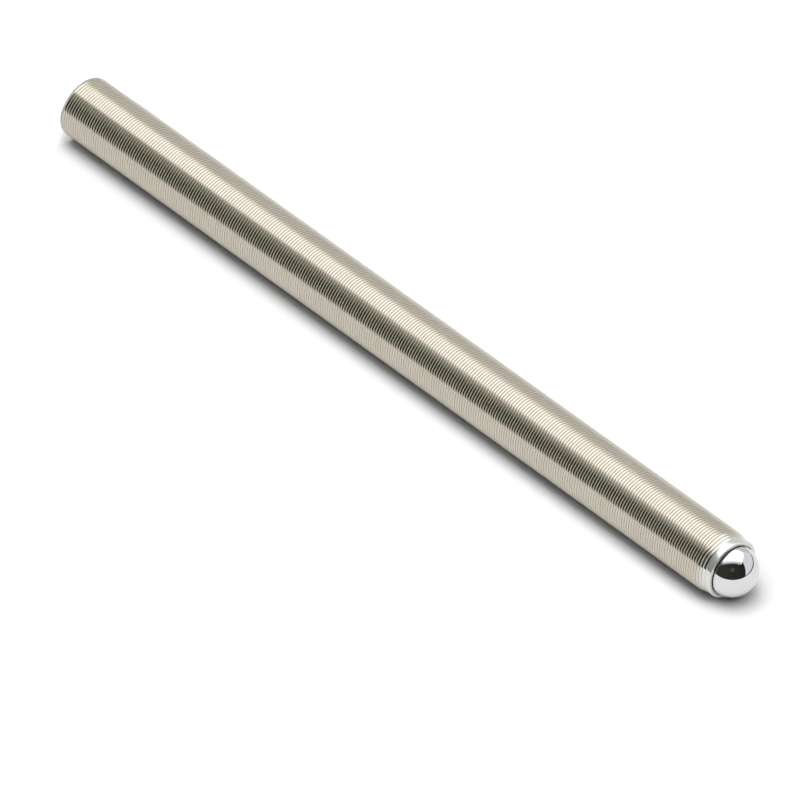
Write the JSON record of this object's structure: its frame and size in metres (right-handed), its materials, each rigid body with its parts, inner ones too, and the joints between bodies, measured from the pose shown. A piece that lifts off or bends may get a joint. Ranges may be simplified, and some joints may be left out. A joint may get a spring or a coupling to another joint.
{
  "type": "ball-end adjusting screw",
  "caption": "Long headless adjusting screw with an ultra-fine right-hand thread, a polished ball pressed into its nose and a hexagon socket in its rear end.",
  "frame": {"origin": "centre of the flat rear face, which the screw stands on", "axes": "+Z along the screw towards the ball"},
  "size_m": [0.005, 0.005, 0.072],
  "materials": {
    "screw_steel": "bright stainless steel with a warm cast, finely threaded",
    "ball_steel": "mirror-polished hardened steel"
  },
  "bodies": {
    "root": {"screw_body": "screw_steel", "tip_ball": "ball_steel"}
  },
  "joints": []
}
